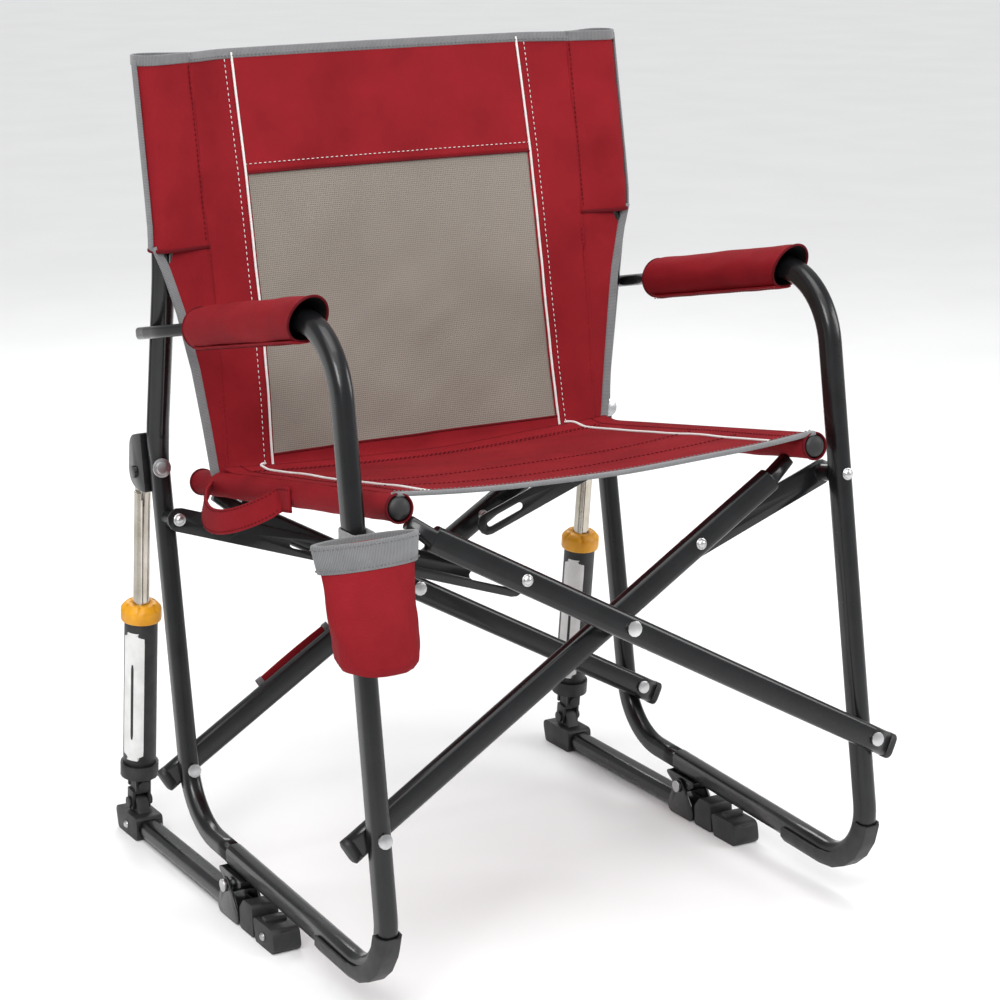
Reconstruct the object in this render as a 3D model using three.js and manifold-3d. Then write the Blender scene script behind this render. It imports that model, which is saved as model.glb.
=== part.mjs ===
// Folding camp rocking chair, in millimetres.
// +Z is up, the sitter faces -Y, and +X is the right as seen from the front.
import * as THREE from 'three';
import { mergeVertices } from 'three/addons/utils/BufferGeometryUtils.js';
import Module from 'manifold-3d';

const wasm = await Module();
wasm.setup();

// ---------- Driving dimensions ----------

const GAP = 0.3; // clearance between touching pieces
const ORIGIN = { x: 16.85, y: 16.07 }; // moves the origin to the bottom centre of the whole chair's box

// Side frames: two flat bent loops, each in a plane of constant X. Points are [y, z].
const HALF_WIDTH = 282; // mid-plane of the chair to the plane of a side frame
const LOOP_TUBE = { across: 20, deep: 24, round: 8 };
const LEG_TUBE = { across: 20, deep: 22, round: 8 };
const UPRIGHT_RADIUS = 12.25;
const LEAN = { perHeight: 0.008, from: 130 }; // the side frames lean towards each other above this height
const UPRIGHT_TOP = [217, 872];
const UPRIGHT_BEND = [184, 690];
const UPRIGHT_KINK = [220, 472]; // the leg below is flattened, the upright above is round
const REAR_CORNER = [149.5, 65];
const RAIL_JOINT = [45, 61]; // the two tubes of a side frame meet here, on the bottom rail
const FRONT_CORNER = [-312.5, 46.6];
const ARM_CORNER = [-212.5, 679.8];
const ARM_END = [210, 594.5];
const ARM_TAIL = { across: 12, deep: 13, round: 4 }; // the arm's flattened end, bolted outside the upright
const REAR_BEND = 76;
const FRONT_BEND = 62;
const ARM_BEND = 78;
const BACK_BOLT = { y: 215.4, z: 445.5, slope: Math.atan(0.1732) }; // square to the leg, from its front face

// Rocking base: a ground rail under each side frame, and the axle that the frame rocks on.
const GROUND_X = 285;
const GROUND_TUBE = { across: 25, deep: 20, round: 8 };
const GROUND_Z = 13;
const GROUND_FRONT = -84;
const GROUND_REAR = 322;
const ROCK_AXLE = [29, 36];

// Spring pistons, from the pin on the ground rail to the bolt behind the upright.
const PISTON_FOOT = [300, 38];
const PISTON_TOP = [250, 435];
const BARREL = { radius: 18.5, bore: 16.5, low: 38, high: 232 };
const ROD_RADIUS = 9;

// Scissor fold. Its axis is tilted, so it has a frame of its own:
// s runs forwards along the fold axis, and h upwards.
const TILT = THREE.MathUtils.degToRad(9.3);
const FOLD_Y = -31; // where the fold frame's origin lies in the chair
const PIVOT_H = 149.4; // bolts at the feet of the scissor tubes
const CROSS_H = 309.1; // bolts where the scissor tubes cross
const RAIL_X = 238;
const RAIL_H = 459;
const RAIL_RADIUS = 11;
const RAIL_FRONT = 300;
const RAIL_REAR = { left: -160, right: -202 };
const SCISSOR_TUBE = { across: 15, deep: 26, round: 6 };
const SCISSOR_TAIL = 24; // tube past its foot bolt
const LAYER = { frontA: 264, frontB: 306.8, rearA: -187.2, rearB: -141 }; // s of each tube's middle
const LEG_S = { front: 286.2, rear: -168.1 };
const LINK_PIVOT = [279.6, 425]; // link pivots on the legs, across and up
const LINK_PIN = [114, 368.5]; // link pins on the scissor tubes
const LINK = { wide: 26, thick: 3 };

// Fabric
const SEAT = { halfWidth: 249, front: 286, rear: -124, low: 470.6, high: 474 };
const BACK = { halfWidth: 262, bottom: [147, 453], top: [236, 880], thick: 4 };
const CUP = { x: -291, y: -311, low: 374, high: 487, footRadius: 37, rimRadius: 52, wall: 2.5 };
const COVER = { rear: 95, front: -171, frontLow: -140, across: 42, deep: 43, slot: 26, slotDeep: 37 };
const HANDLE = { x: -252, middle: 15, halfSpan: 80, h: 452, bulge: 23, drop: 36, wide: 26, thick: 3 };

// ---------- Materials ----------

const material = (color, roughness, metalness) =>
  new THREE.MeshStandardMaterial({ color, roughness, metalness });
const steelPaint = material(0x2c2d2f, 0.4, 0.6);
const zinc = material(0xc4c6c8, 0.3, 1);
const rodSteel = material(0xb9b3a8, 0.22, 1);
const blackPlastic = material(0x161616, 0.55, 0);
const yellowPlastic = material(0xe39a12, 0.5, 0);
const redFabric = material(0x9d2431, 0.85, 0);
const greyMesh = material(0x8a8178, 0.8, 0);

// ---------- Solids ----------

const chair = new THREE.Group();
chair.position.set(ORIGIN.x, ORIGIN.y, 0);

function add(parent, name, geometry, surface) {
  const mesh = new THREE.Mesh(geometry, surface);
  mesh.name = name;
  parent.add(mesh);
  return mesh;
}

function solid(geometry) {
  const bare = new THREE.BufferGeometry();
  bare.setAttribute('position', geometry.getAttribute('position'));
  if (geometry.index) bare.setIndex(geometry.index);
  const merged = mergeVertices(bare, 1e-3);
  return new wasm.Manifold(
    new wasm.Mesh({
      numProp: 3,
      vertProperties: new Float32Array(merged.getAttribute('position').array),
      triVerts: new Uint32Array(merged.index.array),
    }),
  );
}

function geometryOf(body) {
  const { vertProperties, triVerts } = body.getMesh();
  const geometry = new THREE.BufferGeometry();
  geometry.setAttribute('position', new THREE.BufferAttribute(vertProperties, 3));
  geometry.setIndex(new THREE.BufferAttribute(triVerts, 1));
  return geometry;
}

function join(first, ...others) {
  return geometryOf(others.reduce((body, other) => body.add(solid(other)), solid(first)));
}

function cut(first, ...tools) {
  return geometryOf(tools.reduce((body, tool) => body.subtract(solid(tool)), solid(first)));
}

function box(low, high) {
  const geometry = new THREE.BoxGeometry(high[0] - low[0], high[1] - low[1], high[2] - low[2]);
  return geometry.translate((low[0] + high[0]) / 2, (low[1] + high[1]) / 2, (low[2] + high[2]) / 2);
}

// A closed outline with rounded corners, anticlockwise, as points across (x) and deep (y).
function roundedOutline({ across, deep, round }, perCorner = 3) {
  const points = [];
  const centres = [[1, 1], [-1, 1], [-1, -1], [1, -1]];
  centres.forEach(([sx, sy], corner) => {
    for (let i = 0; i < perCorner; i++) {
      const angle = (Math.PI / 2) * (corner + i / (perCorner - 1));
      const x = sx * (across / 2 - round) + round * Math.cos(angle);
      const y = sy * (deep / 2 - round) + round * Math.sin(angle);
      points.push(new THREE.Vector2(x, y));
    }
  });
  return points;
}

// Skins a row of stations into one closed body. Each station holds a point, two directions and,
// if it differs, its own outline with as many points as the rest.
function sweep(stations, outline) {
  const count = outline.length;
  const position = [];
  for (const station of stations) {
    for (const point of station.outline ?? outline) {
      const place = station.at.clone();
      place.addScaledVector(station.across, point.x).addScaledVector(station.up, point.y);
      position.push(place.x, place.y, place.z);
    }
  }
  const index = [];
  const last = (stations.length - 1) * count;
  for (let row = 0; row < last; row += count) {
    for (let i = 0; i < count; i++) {
      const j = (i + 1) % count;
      index.push(row + i, row + j, row + count + j, row + i, row + count + j, row + count + i);
    }
  }
  for (const [a, b, c] of THREE.ShapeUtils.triangulateShape(outline, [])) {
    index.push(a, c, b, last + a, last + b, last + c);
  }
  const geometry = new THREE.BufferGeometry();
  geometry.setAttribute('position', new THREE.Float32BufferAttribute(position, 3));
  geometry.setIndex(index);
  return geometry;
}

// Stations along a path in a plane of constant X that turns at corners [y, z, bend radius].
function bentPath(corners, stepsPerBend = 6) {
  const points = corners.map(([y, z]) => new THREE.Vector3(0, y, z));
  const across = new THREE.Vector3(1, 0, 0);
  const stations = [];
  const put = (at, along) => {
    stations.push({ at, across, up: new THREE.Vector3().crossVectors(along, across) });
  };
  const heading = (i) => points[i + 1].clone().sub(points[i]).normalize();
  put(points[0], heading(0));
  for (let i = 1; i < points.length - 1; i++) {
    const into = heading(i - 1);
    const out = heading(i);
    const turn = into.angleTo(out);
    const radius = corners[i][2];
    const start = points[i].clone().addScaledVector(into, -radius * Math.tan(turn / 2));
    const side = out.clone().addScaledVector(into, -out.dot(into)).normalize();
    for (let step = 0; step <= stepsPerBend; step++) {
      const angle = (turn * step) / stepsPerBend;
      const at = start.clone().addScaledVector(into, radius * Math.sin(angle));
      at.addScaledVector(side, radius * (1 - Math.cos(angle)));
      const along = into.clone().multiplyScalar(Math.cos(angle)).addScaledVector(side, Math.sin(angle));
      put(at, along.normalize());
    }
  }
  put(points[points.length - 1], heading(points.length - 2));
  return stations;
}

// Extrudes an outline of [y, z] points across X, between two X positions.
function plateX(outline, from, to) {
  const shape = new THREE.Shape(outline.map(([y, z]) => new THREE.Vector2(y, z)));
  const geometry = new THREE.ExtrudeGeometry(shape, { depth: to - from, bevelEnabled: false });
  geometry.applyMatrix4(new THREE.Matrix4().set(0, 0, 1, 0, 1, 0, 0, 0, 0, 1, 0, 0, 0, 0, 0, 1));
  return geometry.translate(from, 0, 0);
}

// Extrudes an outline of [x, z] points along Y, between two Y positions.
function plateY(outline, from, to) {
  const shape = new THREE.Shape(outline.map(([x, z]) => new THREE.Vector2(x, -z)));
  const geometry = new THREE.ExtrudeGeometry(shape, { depth: to - from, bevelEnabled: false });
  return geometry.rotateX(-Math.PI / 2).translate(0, from, 0);
}

// Rounded hull of discs [y, z, radius], given in anticlockwise order, as an outline.
function discHull(discs, stepsPerDisc = 6) {
  const points = [];
  discs.forEach(([y, z, radius], i) => {
    const before = discs[(i + discs.length - 1) % discs.length];
    const after = discs[(i + 1) % discs.length];
    const start = tangentAngle(before, discs[i]);
    let end = tangentAngle(discs[i], after);
    while (end < start) end += 2 * Math.PI;
    for (let step = 0; step <= stepsPerDisc; step++) {
      const angle = start + ((end - start) * step) / stepsPerDisc;
      points.push([y + radius * Math.cos(angle), z + radius * Math.sin(angle)]);
    }
  });
  return points;
}

// Direction of the outer tangent's normal between two discs, on the right of the way from one to the other.
function tangentAngle([y0, z0, r0], [y1, z1, r1]) {
  const length = Math.hypot(y1 - y0, z1 - z0);
  return Math.atan2(z1 - z0, y1 - y0) - Math.acos((r0 - r1) / length);
}

function cylinder(radius, axis, from, to, [a, b], sides = 12) {
  const geometry = new THREE.CylinderGeometry(radius, radius, to - from, sides);
  const middle = (from + to) / 2;
  if (axis === 'x') return geometry.rotateZ(Math.PI / 2).translate(middle, a, b);
  if (axis === 'y') return geometry.translate(a, middle, b);
  return geometry.rotateX(Math.PI / 2).translate(a, b, middle);
}

// A bolt along X, from one X to another, with a head at each end.
function boltX(radius, headRadius, headThick, from, to, place, sides = 12) {
  return join(
    cylinder(radius, 'x', from - 0.5, to + 0.5, place, sides),
    cylinder(headRadius, 'x', from - headThick, from, place, sides),
    cylinder(headRadius, 'x', to, to + headThick, place, sides),
  );
}

// A bolt along Y, the same way.
function boltY(radius, headRadius, headThick, from, to, place, sides = 12) {
  return join(
    cylinder(radius, 'y', from - 0.5, to + 0.5, place, sides),
    cylinder(headRadius, 'y', from - headThick, from, place, sides),
    cylinder(headRadius, 'y', to, to + headThick, place, sides),
  );
}

const BOLT = 4;
const HOLE = BOLT + GAP;

// ---------- Side frames ----------

// Leans a path towards the middle of the chair as it rises.
function leaned(stations, side) {
  for (const { at } of stations) {
    at.x -= side * LEAN.perHeight * Math.max(0, at.z - LEAN.from);
  }
  return stations;
}

function rearTube(side) {
  const kink = [...UPRIGHT_KINK, 160];
  const corner = [...REAR_CORNER, REAR_BEND];
  const joint = [RAIL_JOINT[0] + GAP, RAIL_JOINT[1]];
  const stations = leaned(bentPath([UPRIGHT_TOP, [...UPRIGHT_BEND, 300], kink, corner, joint]), side);
  const wide = 2 * UPRIGHT_RADIUS;
  const round = roundedOutline({ across: wide, deep: wide, round: UPRIGHT_RADIUS });
  for (const station of stations) {
    if (station.at.z > UPRIGHT_KINK[1]) station.outline = round;
  }
  const boltHole = onBackBolt(cylinder(HOLE, 'y', -30, 30, [0, 0]));
  return cut(sweep(stations, roundedOutline(LEG_TUBE)), boltHole, footBoltHole(LEG_S.rear));
}

function frontTube(side) {
  const corners = [RAIL_JOINT, [...FRONT_CORNER, FRONT_BEND], [...ARM_CORNER, ARM_BEND], ARM_END];
  const stations = bentPath(corners);
  const end = stations.pop();
  const along = end.at.clone().sub(stations[stations.length - 1].at).normalize();
  const tail = roundedOutline(ARM_TAIL);
  const outboard = side * (UPRIGHT_RADIUS + GAP + ARM_TAIL.across / 2);
  const back = (distance, offset, outline) => {
    const at = end.at.clone().addScaledVector(along, -distance);
    at.x = offset;
    stations.push({ ...end, at, outline });
  };
  back(134, 0, undefined);
  back(118, side * 3, tail);
  back(42, outboard, tail);
  back(0, outboard, tail);
  return cut(sweep(leaned(stations, side), roundedOutline(LOOP_TUBE)), footBoltHole(LEG_S.front));
}

// The hole for a scissor tube's foot bolt, along the fold axis through a leg.
function footBoltHole(s) {
  const hole = cylinder(HOLE, 'y', -s - 30, -s + 30, [0, PIVOT_H]);
  return hole.rotateX(-TILT).translate(0, FOLD_Y, 0);
}

function footBoot() {
  const stations = bentPath([[-172, 52.4], [...FRONT_CORNER, FRONT_BEND], [-295.7, 153]]).slice(0, -2);
  const { across, deep } = LOOP_TUBE;
  const inner = across / 2 + GAP;
  const outer = inner + 3;
  const floor = -deep / 2 - GAP;
  const half = [[outer, floor + 4], [outer, 2], [inner, 2], [inner, floor + 4.6], [inner - 4.6, floor]];
  const left = half.map(([x, y]) => [-x, y]).reverse();
  const outline = [[-outer + 5, floor - 3], [outer - 5, floor - 3], ...half, ...left];
  return sweep(stations, outline.map(([x, y]) => new THREE.Vector2(x, y)));
}

// The lug under the bottom rail that carries the rock bolt. It stands midway between the two planes.
function rockHanger(side) {
  const [y, z] = ROCK_AXLE;
  const middle = (side * (GROUND_X - HALF_WIDTH)) / 2;
  const foot = [[y + 26, 45, 2.6], [y + 24, 46.9, 1.6], [y - 24, 45.5, 1.6], [y - 24, 42, 1.6]];
  const outline = discHull([[y, z, 9], ...foot], 4);
  return cut(plateX(outline, middle - 11, middle + 11), cylinder(HOLE, 'x', -30, 30, ROCK_AXLE));
}

// A folded D-shaped bracket behind the upright, with the bolt that the piston's eye swings on.
function pistonBracket(offset) {
  const [y, z] = PISTON_TOP;
  const web = [[233.9, 479, 2], [225.5, 419, 2]];
  const outline = discHull([[y, z, 17], [y - 4, z + 24, 18], ...web, [y - 8, z - 14, 5]], 5);
  const slot = [[228.5, 400], [300, 400], [300, 468], [235.5, 468]];
  const folded = cut(
    plateX(outline, offset - 9, offset + 9),
    plateX(slot, offset - 6, offset + 6),
    onBackBolt(cylinder(HOLE, 'y', 0, 30, [0, 0])),
  );
  return join(folded, boltX(BOLT, 7, 3, -9, 9, PISTON_TOP).translate(offset, 0, 0));
}

// Moves a solid made round the Y axis on to the back bolt's line.
function onBackBolt(geometry) {
  return geometry.rotateX(-BACK_BOLT.slope).translate(0, BACK_BOLT.y, BACK_BOLT.z);
}

// The bolt through the top of the leg into the bracket, with a wide washer under its head.
function backBolt() {
  const face = -LEG_TUBE.deep / 2 - 2 * GAP;
  const bolt = join(
    cylinder(BOLT, 'y', face - 1, 14.5, [0, 0], 16),
    cylinder(10.5, 'y', face - 1.8, face, [0, 0], 16),
    cylinder(7, 'y', face - 4.6, face - 1.7, [0, 0], 16),
  );
  return onBackBolt(bolt);
}

function sideFrame(name, side) {
  const frame = new THREE.Group();
  frame.position.x = side * HALF_WIDTH;
  chair.add(frame);
  add(frame, `${name}_rear_tube`, rearTube(side), steelPaint);
  add(frame, `${name}_front_tube`, frontTube(side), steelPaint);
  add(frame, `${name}_foot_boot`, footBoot(), blackPlastic);
  add(frame, `${name}_rock_hanger`, rockHanger(side), steelPaint);
  add(frame, `${name}_piston_bracket`, pistonBracket(side * (GROUND_X - HALF_WIDTH)), steelPaint);
  add(frame, `${name}_back_bolt`, backBolt(), zinc);
  add(frame, `${name}_arm_cover`, armCoverSolid(side), redFabric);
}

function armCoverSolid(side) {
  const { rear, front, frontLow, across, deep, slot, slotDeep } = COVER;
  const slope = (ARM_CORNER[1] - ARM_END[1]) / (ARM_END[0] - ARM_CORNER[0]);
  const at = (y) => [y, ARM_END[1] + slope * (ARM_END[0] - y)];
  const bar = (from, to, section) =>
    sweep(leaned(bentPath([at(from), at(to)]), side), roundedOutline(section, 4));
  const top = at(front)[1] + 30;
  const mouth = [[frontLow + 32, 590], [front - 6, top], [front - 60, top], [front - 60, 590]];
  return cut(
    bar(rear, front, { across, deep, round: 0.45 * across }),
    bar(rear + 10, front - 10, { across: slot, deep: slotDeep, round: 0.45 * slot }),
    plateX(mouth, -40, 40),
  );
}

// ---------- Rocking base ----------

function rockBracket() {
  const [y, z] = ROCK_AXLE;
  const rail = GROUND_TUBE.across / 2 + GAP;
  const wide = rail + 3;
  const outline = discHull([[y, z, 9], [y - 22, 9, 8.6], [y + 12, 9, 8.6]], 5);
  const channel = plateX(outline, -wide, wide);
  const hollow = box([-rail, y - 60, GROUND_Z - GROUND_TUBE.deep / 2 - GAP], [rail, y + 60, 60]);
  return cut(channel, hollow, cylinder(HOLE, 'x', -30, 30, ROCK_AXLE));
}

// A collar round the ground rail, in the given outline across X, open to take the rail.
function railCollar(outline, halfWidth, hollowFrom, hollowTo) {
  const clear = {
    across: GROUND_TUBE.across + 2 * GAP,
    deep: GROUND_TUBE.deep + 2 * GAP,
    round: GROUND_TUBE.round,
  };
  const hollow = sweep(bentPath([[hollowFrom, GROUND_Z], [hollowTo, GROUND_Z]]), roundedOutline(clear));
  return cut(plateX(outline, -halfWidth, halfWidth), hollow);
}

function endCap() {
  const shell = discHull([[-78, 18, 8], [-80, 8, 8], [-46, 3, 3], [-44, 21, 5]], 4);
  const cap = railCollar(shell, 15.5, GROUND_FRONT - GAP, 0);
  return join(cap, box([-12, -62, 25.5], [12, -54, 31]));
}

function bumperSleeve() {
  const outline = discHull([[-34, 5, 4], [-8, 5, 4], [-8, 22, 4], [-16, 30, 5], [-30, 30, 5]], 3);
  return railCollar(outline, 15, -60, 30);
}

function rearClamp() {
  const [y, z] = PISTON_FOOT;
  const casing = discHull([[276, 5, 5], [322, 5, 5], [324, 20, 7], [276, 22, 5]], 4);
  const shell = railCollar(casing, 16, 240, GROUND_REAR + 0.5);
  const lug = plateX(discHull([[y, z, 9], [y - 13, 26, 2], [y + 13, 26, 2]], 4), -7, 7);
  return join(shell, lug, boltX(BOLT, 6.5, 2.5, -11.4, 11.4, PISTON_FOOT));
}

function standBase(name, side) {
  const stand = new THREE.Group();
  stand.position.x = side * GROUND_X;
  chair.add(stand);
  const path = bentPath([[GROUND_REAR, GROUND_Z], [GROUND_FRONT, GROUND_Z]]);
  const rail = sweep(path, roundedOutline(GROUND_TUBE));
  add(stand, `${name}_ground_rail`, rail, steelPaint);
  add(stand, `${name}_rail_end_cap`, endCap(), blackPlastic);
  add(stand, `${name}_bumper_sleeve`, bumperSleeve(), blackPlastic);
  add(stand, `${name}_rock_bracket`, rockBracket(), steelPaint);
  add(stand, `${name}_rock_bolt`, boltX(BOLT, 7, 3.5, -16.2, 16.2, ROCK_AXLE), zinc);
  add(stand, `${name}_rear_clamp`, rearClamp(), blackPlastic);
}

// ---------- Spring pistons: z runs along the piston from the pin at its foot ----------

function piston(name, side) {
  const [y0, z0] = PISTON_FOOT;
  const [y1, z1] = PISTON_TOP;
  const length = Math.hypot(y1 - y0, z1 - z0);
  const unit = new THREE.Group();
  unit.position.set(side * GROUND_X, y0, z0);
  unit.rotation.x = Math.atan2(y0 - y1, z1 - z0);
  chair.add(unit);
  const { radius, bore, low, high } = BARREL;
  const turned = (points) => {
    const profile = points.map(([r, z]) => new THREE.Vector2(r, z));
    return new THREE.LatheGeometry([...profile, profile[0]], 20).rotateX(Math.PI / 2);
  };
  const shaft = (r, from, to) => cylinder(r, 'z', from, to, [0, 0], 20);

  // The yoke is a small universal joint: its lower fork takes a pin along X, its upper tongue one along Y.
  const prong = [[7.6, 12], [7.6, -7], [11, -7], [11, 16], [8, 16], [8, 30]];
  const fork = plateY([...prong, ...prong.map(([x, z]) => [-x, z]).reverse()], -8, 8);
  const drilled = cut(fork, cylinder(HOLE, 'x', -20, 20, [0, 0]));
  const yoke = join(drilled, boltY(BOLT, 6.5, 2.5, -12.4, 12.4, [0, 24]));
  add(unit, `${name}_swivel_yoke`, yoke, blackPlastic);
  const snug = radius + GAP;
  const footCup = [[21.5, 34], [21.5, 50], [snug, 50], [snug, 39 + GAP], [6, 39 + GAP], [6, 34]];
  const ears = box([-9, -12, 17], [9, 12, 35]);
  const throat = box([-10, -8.4, 10], [10, 8.4, 33.9]);
  const pinHole = cylinder(HOLE, 'y', -30, 30, [0, 24]);
  const foot = cut(join(turned(footCup), ears), throat, pinHole, shaft(5.9, 30, 60));
  add(unit, `${name}_cylinder_foot`, foot, blackPlastic);
  const tube = [[radius, low + 2], [radius, high], [bore, high], [bore, low + 6], [5, low + 6], [5, low + 2]];
  add(unit, `${name}_cylinder`, turned(tube), blackPlastic);
  const lip = high + GAP;
  const rodHole = ROD_RADIUS + GAP;
  const collar = [[snug, 226], [22.5, 226], [22.5, 238], [18, 245]];
  const guide = [...collar, [rodHole, 245], [rodHole, lip], [snug, lip]];
  const notch = (i) => box([-2, 13, 240], [2, 30, 260]).rotateZ((i * Math.PI) / 3);
  const notches = [0, 1, 2, 3, 4, 5].map(notch);
  add(unit, `${name}_guide_cap`, cut(turned(guide), ...notches), yellowPlastic);
  const eyeOutline = discHull([[0, length, 12], [0, length - 30, 8.2]], 6);
  const eye = plateX(eyeOutline, -5, 5);
  const rod = cut(
    join(shaft(ROD_RADIUS, 170, length - 24), shaft(bore - 0.5, 160, 172), eye),
    cylinder(8, 'x', -20, 20, [0, length], 16),
  );
  add(unit, `${name}_piston_rod`, rod, rodSteel);
  add(unit, `${name}_spring`, coil(12.5, 1.6, 47.5, 158, 6), zinc);
}

// A compression spring standing along z.
function coil(radius, wire, from, to, turns) {
  const perTurn = 10;
  const steps = turns * perTurn;
  const outline = roundedOutline({ across: 1.9 * wire, deep: 1.9 * wire, round: 0.4 * wire }, 2);
  const stations = [];
  for (let i = 0; i <= steps; i++) {
    const angle = (2 * Math.PI * i) / perTurn;
    const height = from + wire + ((to - from - 2 * wire) * i) / steps;
    const at = new THREE.Vector3(radius * Math.cos(angle), radius * Math.sin(angle), height);
    const across = new THREE.Vector3(Math.cos(angle), Math.sin(angle), 0);
    stations.push({ at, across, up: new THREE.Vector3(0, 0, -1) });
  }
  return sweep(stations, outline);
}

// ---------- Scissor assembly: x across, -y is s, z is h ----------

const fold = new THREE.Group();
fold.position.y = FOLD_Y;
fold.rotation.x = -TILT;
chair.add(fold);

// A scissor tube from its foot bolt on one side up to the seat rail on the other.
// toward is the side it rises to.
function scissorTube(layer, toward) {
  const rise = new THREE.Vector2(HALF_WIDTH, CROSS_H - PIVOT_H).normalize();
  const onTube = (distance) => [rise.x * distance, CROSS_H + rise.y * distance];
  const half = Math.hypot(HALF_WIDTH, CROSS_H - PIVOT_H);
  const neck = roundedOutline({ across: SCISSOR_TUBE.across, deep: 14, round: 5 });
  const top = [RAIL_X - 7, RAIL_H - 14];
  const stations = bentPath([onTube(-half - SCISSOR_TAIL), [...onTube(238), 30], top], 2);
  stations[stations.length - 1].outline = neck;
  const tube = sweep(stations, roundedOutline(SCISSOR_TUBE)).rotateZ(-Math.PI / 2);
  if (toward < 0) tube.scale(-1, 1, 1).index.array.reverse();
  tube.translate(0, -layer, 0);
  const hole = (x, h) => cylinder(HOLE, 'y', -layer - 20, -layer + 20, [x, h]);
  return cut(tube, hole(-toward * HALF_WIDTH, PIVOT_H), hole(0, CROSS_H));
}

// A slotted link between a leg and a scissor tube, with a stiffener and,
// where it stands off the leg, a spacer.
function slottedLink(layer, side, legFace) {
  const [pinX, pinH] = LINK_PIN;
  const [pivotX, pivotH] = LINK_PIVOT;
  const length = Math.hypot(pivotX - pinX, pivotH - pinH);
  const angle = Math.atan2(pivotH - pinH, pivotX - pinX);
  const half = LINK.wide / 2;
  const plate = plateY(discHull([[0, 0, half], [-length - 8, 0, half]], 6), -LINK.thick / 2, LINK.thick / 2);
  const slot = plateY(discHull([[-length + 38, 0, 4.5], [-length - 5, 0, 4.5]], 4), -5, 5);
  const hole = cylinder(HOLE, 'y', -40, 40, [0, 0]);
  const standoff = -legFace + layer;
  const outward = Math.sign(standoff);
  const stiff = [[-34, half - 1], [-58, half - 1], [-70, 0], [-58, 1 - half], [-48, 1 - half], [-28, -2]];
  const stiffener = plateY(stiff, Math.min(0, -outward * 4), Math.max(0, -outward * 4));
  const parts = [stiffener];
  if (Math.abs(standoff) > LINK.thick) {
    const reach = standoff - outward * GAP;
    parts.push(cylinder(9, 'y', Math.min(0, reach), Math.max(0, reach), [0, 0]));
  }
  const link = cut(join(plate, ...parts), slot, hole).rotateY(-angle);
  if (side < 0) link.scale(-1, 1, 1).index.array.reverse();
  return link.translate(side * pivotX, -layer, pivotH);
}

function crossing(name, layers) {
  const [low, high] = [...layers].sort((a, b) => a - b);
  const half = SCISSOR_TUBE.across / 2;
  const bolt = boltY(BOLT, 8, 3, -high - half - GAP, -low + half + GAP, [0, CROSS_H]);
  const spacer = cylinder(9, 'y', -high + half + GAP, -low - half - GAP, [0, CROSS_H]);
  add(fold, name, join(bolt, spacer), zinc);
}

function seatRail(name, side) {
  const nose = -RAIL_FRONT;
  const tip = [[0, nose - 12], [7.5, nose - 11], [RAIL_RADIUS, nose - 6]];
  const tail = -RAIL_REAR[name];
  const profile = [...tip, [RAIL_RADIUS, tail], [0, tail]];
  const bar = new THREE.LatheGeometry(profile.map(([r, y]) => new THREE.Vector2(r, y)), 16);
  add(fold, `${name}_seat_rail`, bar.translate(side * RAIL_X, 0, RAIL_H), steelPaint);
}

function footBolt(name, side, from, to) {
  add(fold, name, boltY(BOLT, 7.5, 3, -to, -from, [side * HALF_WIDTH, PIVOT_H]), zinc);
}

// ---------- Fabric ----------

function seatSling() {
  return box([-SEAT.halfWidth, -SEAT.front, SEAT.low], [SEAT.halfWidth, -SEAT.rear, SEAT.high]);
}

function backSling() {
  const [y0, z0] = BACK.bottom;
  const [y1, z1] = BACK.top;
  const half = BACK.thick / 2;
  const side = [[y0 + half, z0], [y1 + half, z1], [y1 - half, z1], [y0 - half, z0]];
  return plateX(side, -BACK.halfWidth, BACK.halfWidth);
}

function cupHolder() {
  const { low, high, footRadius, rimRadius, wall } = CUP;
  const outside = [[0, low], [footRadius, low], [rimRadius, high]];
  const inside = [[rimRadius - wall, high], [footRadius - wall, low + wall], [0, low + wall]];
  const profile = [...outside, ...inside].map(([r, z]) => new THREE.Vector2(r, z));
  return new THREE.LatheGeometry(profile, 24).rotateX(Math.PI / 2).translate(CUP.x, CUP.y, 0);
}

// A strap loop that hangs beside the left seat rail.
function carryHandle() {
  const { x, middle, halfSpan, h, bulge, drop, wide, thick } = HANDLE;
  const stations = [];
  const steps = 12;
  for (let i = 0; i <= steps; i++) {
    const angle = (Math.PI * i) / steps;
    const out = Math.sin(angle);
    const at = new THREE.Vector3(x - bulge * out, middle - halfSpan * Math.cos(angle), h - drop * out);
    const along = new THREE.Vector3(-bulge * Math.cos(angle), halfSpan * out, 0).normalize();
    const across = new THREE.Vector3(0, 0, 1);
    stations.push({ at, across, up: new THREE.Vector3().crossVectors(along, across) });
  }
  return sweep(stations, roundedOutline({ across: wide, deep: thick, round: 1 }, 2));
}

function carryStrap() {
  const rise = Math.atan2(CROSS_H - PIVOT_H, HALF_WIDTH);
  const back = -LAYER.rearA + SCISSOR_TUBE.across / 2 + GAP;
  const strap = box([-195, back, -17], [-95, back + 2.5, 17]).rotateY(-rise);
  return strap.translate(0, 0, CROSS_H);
}

// ---------- Assembly ----------

for (const [name, side] of [['left', -1], ['right', 1]]) {
  sideFrame(name, side);
  standBase(name, side);
  piston(name, side);
  seatRail(name, side);
}

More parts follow.
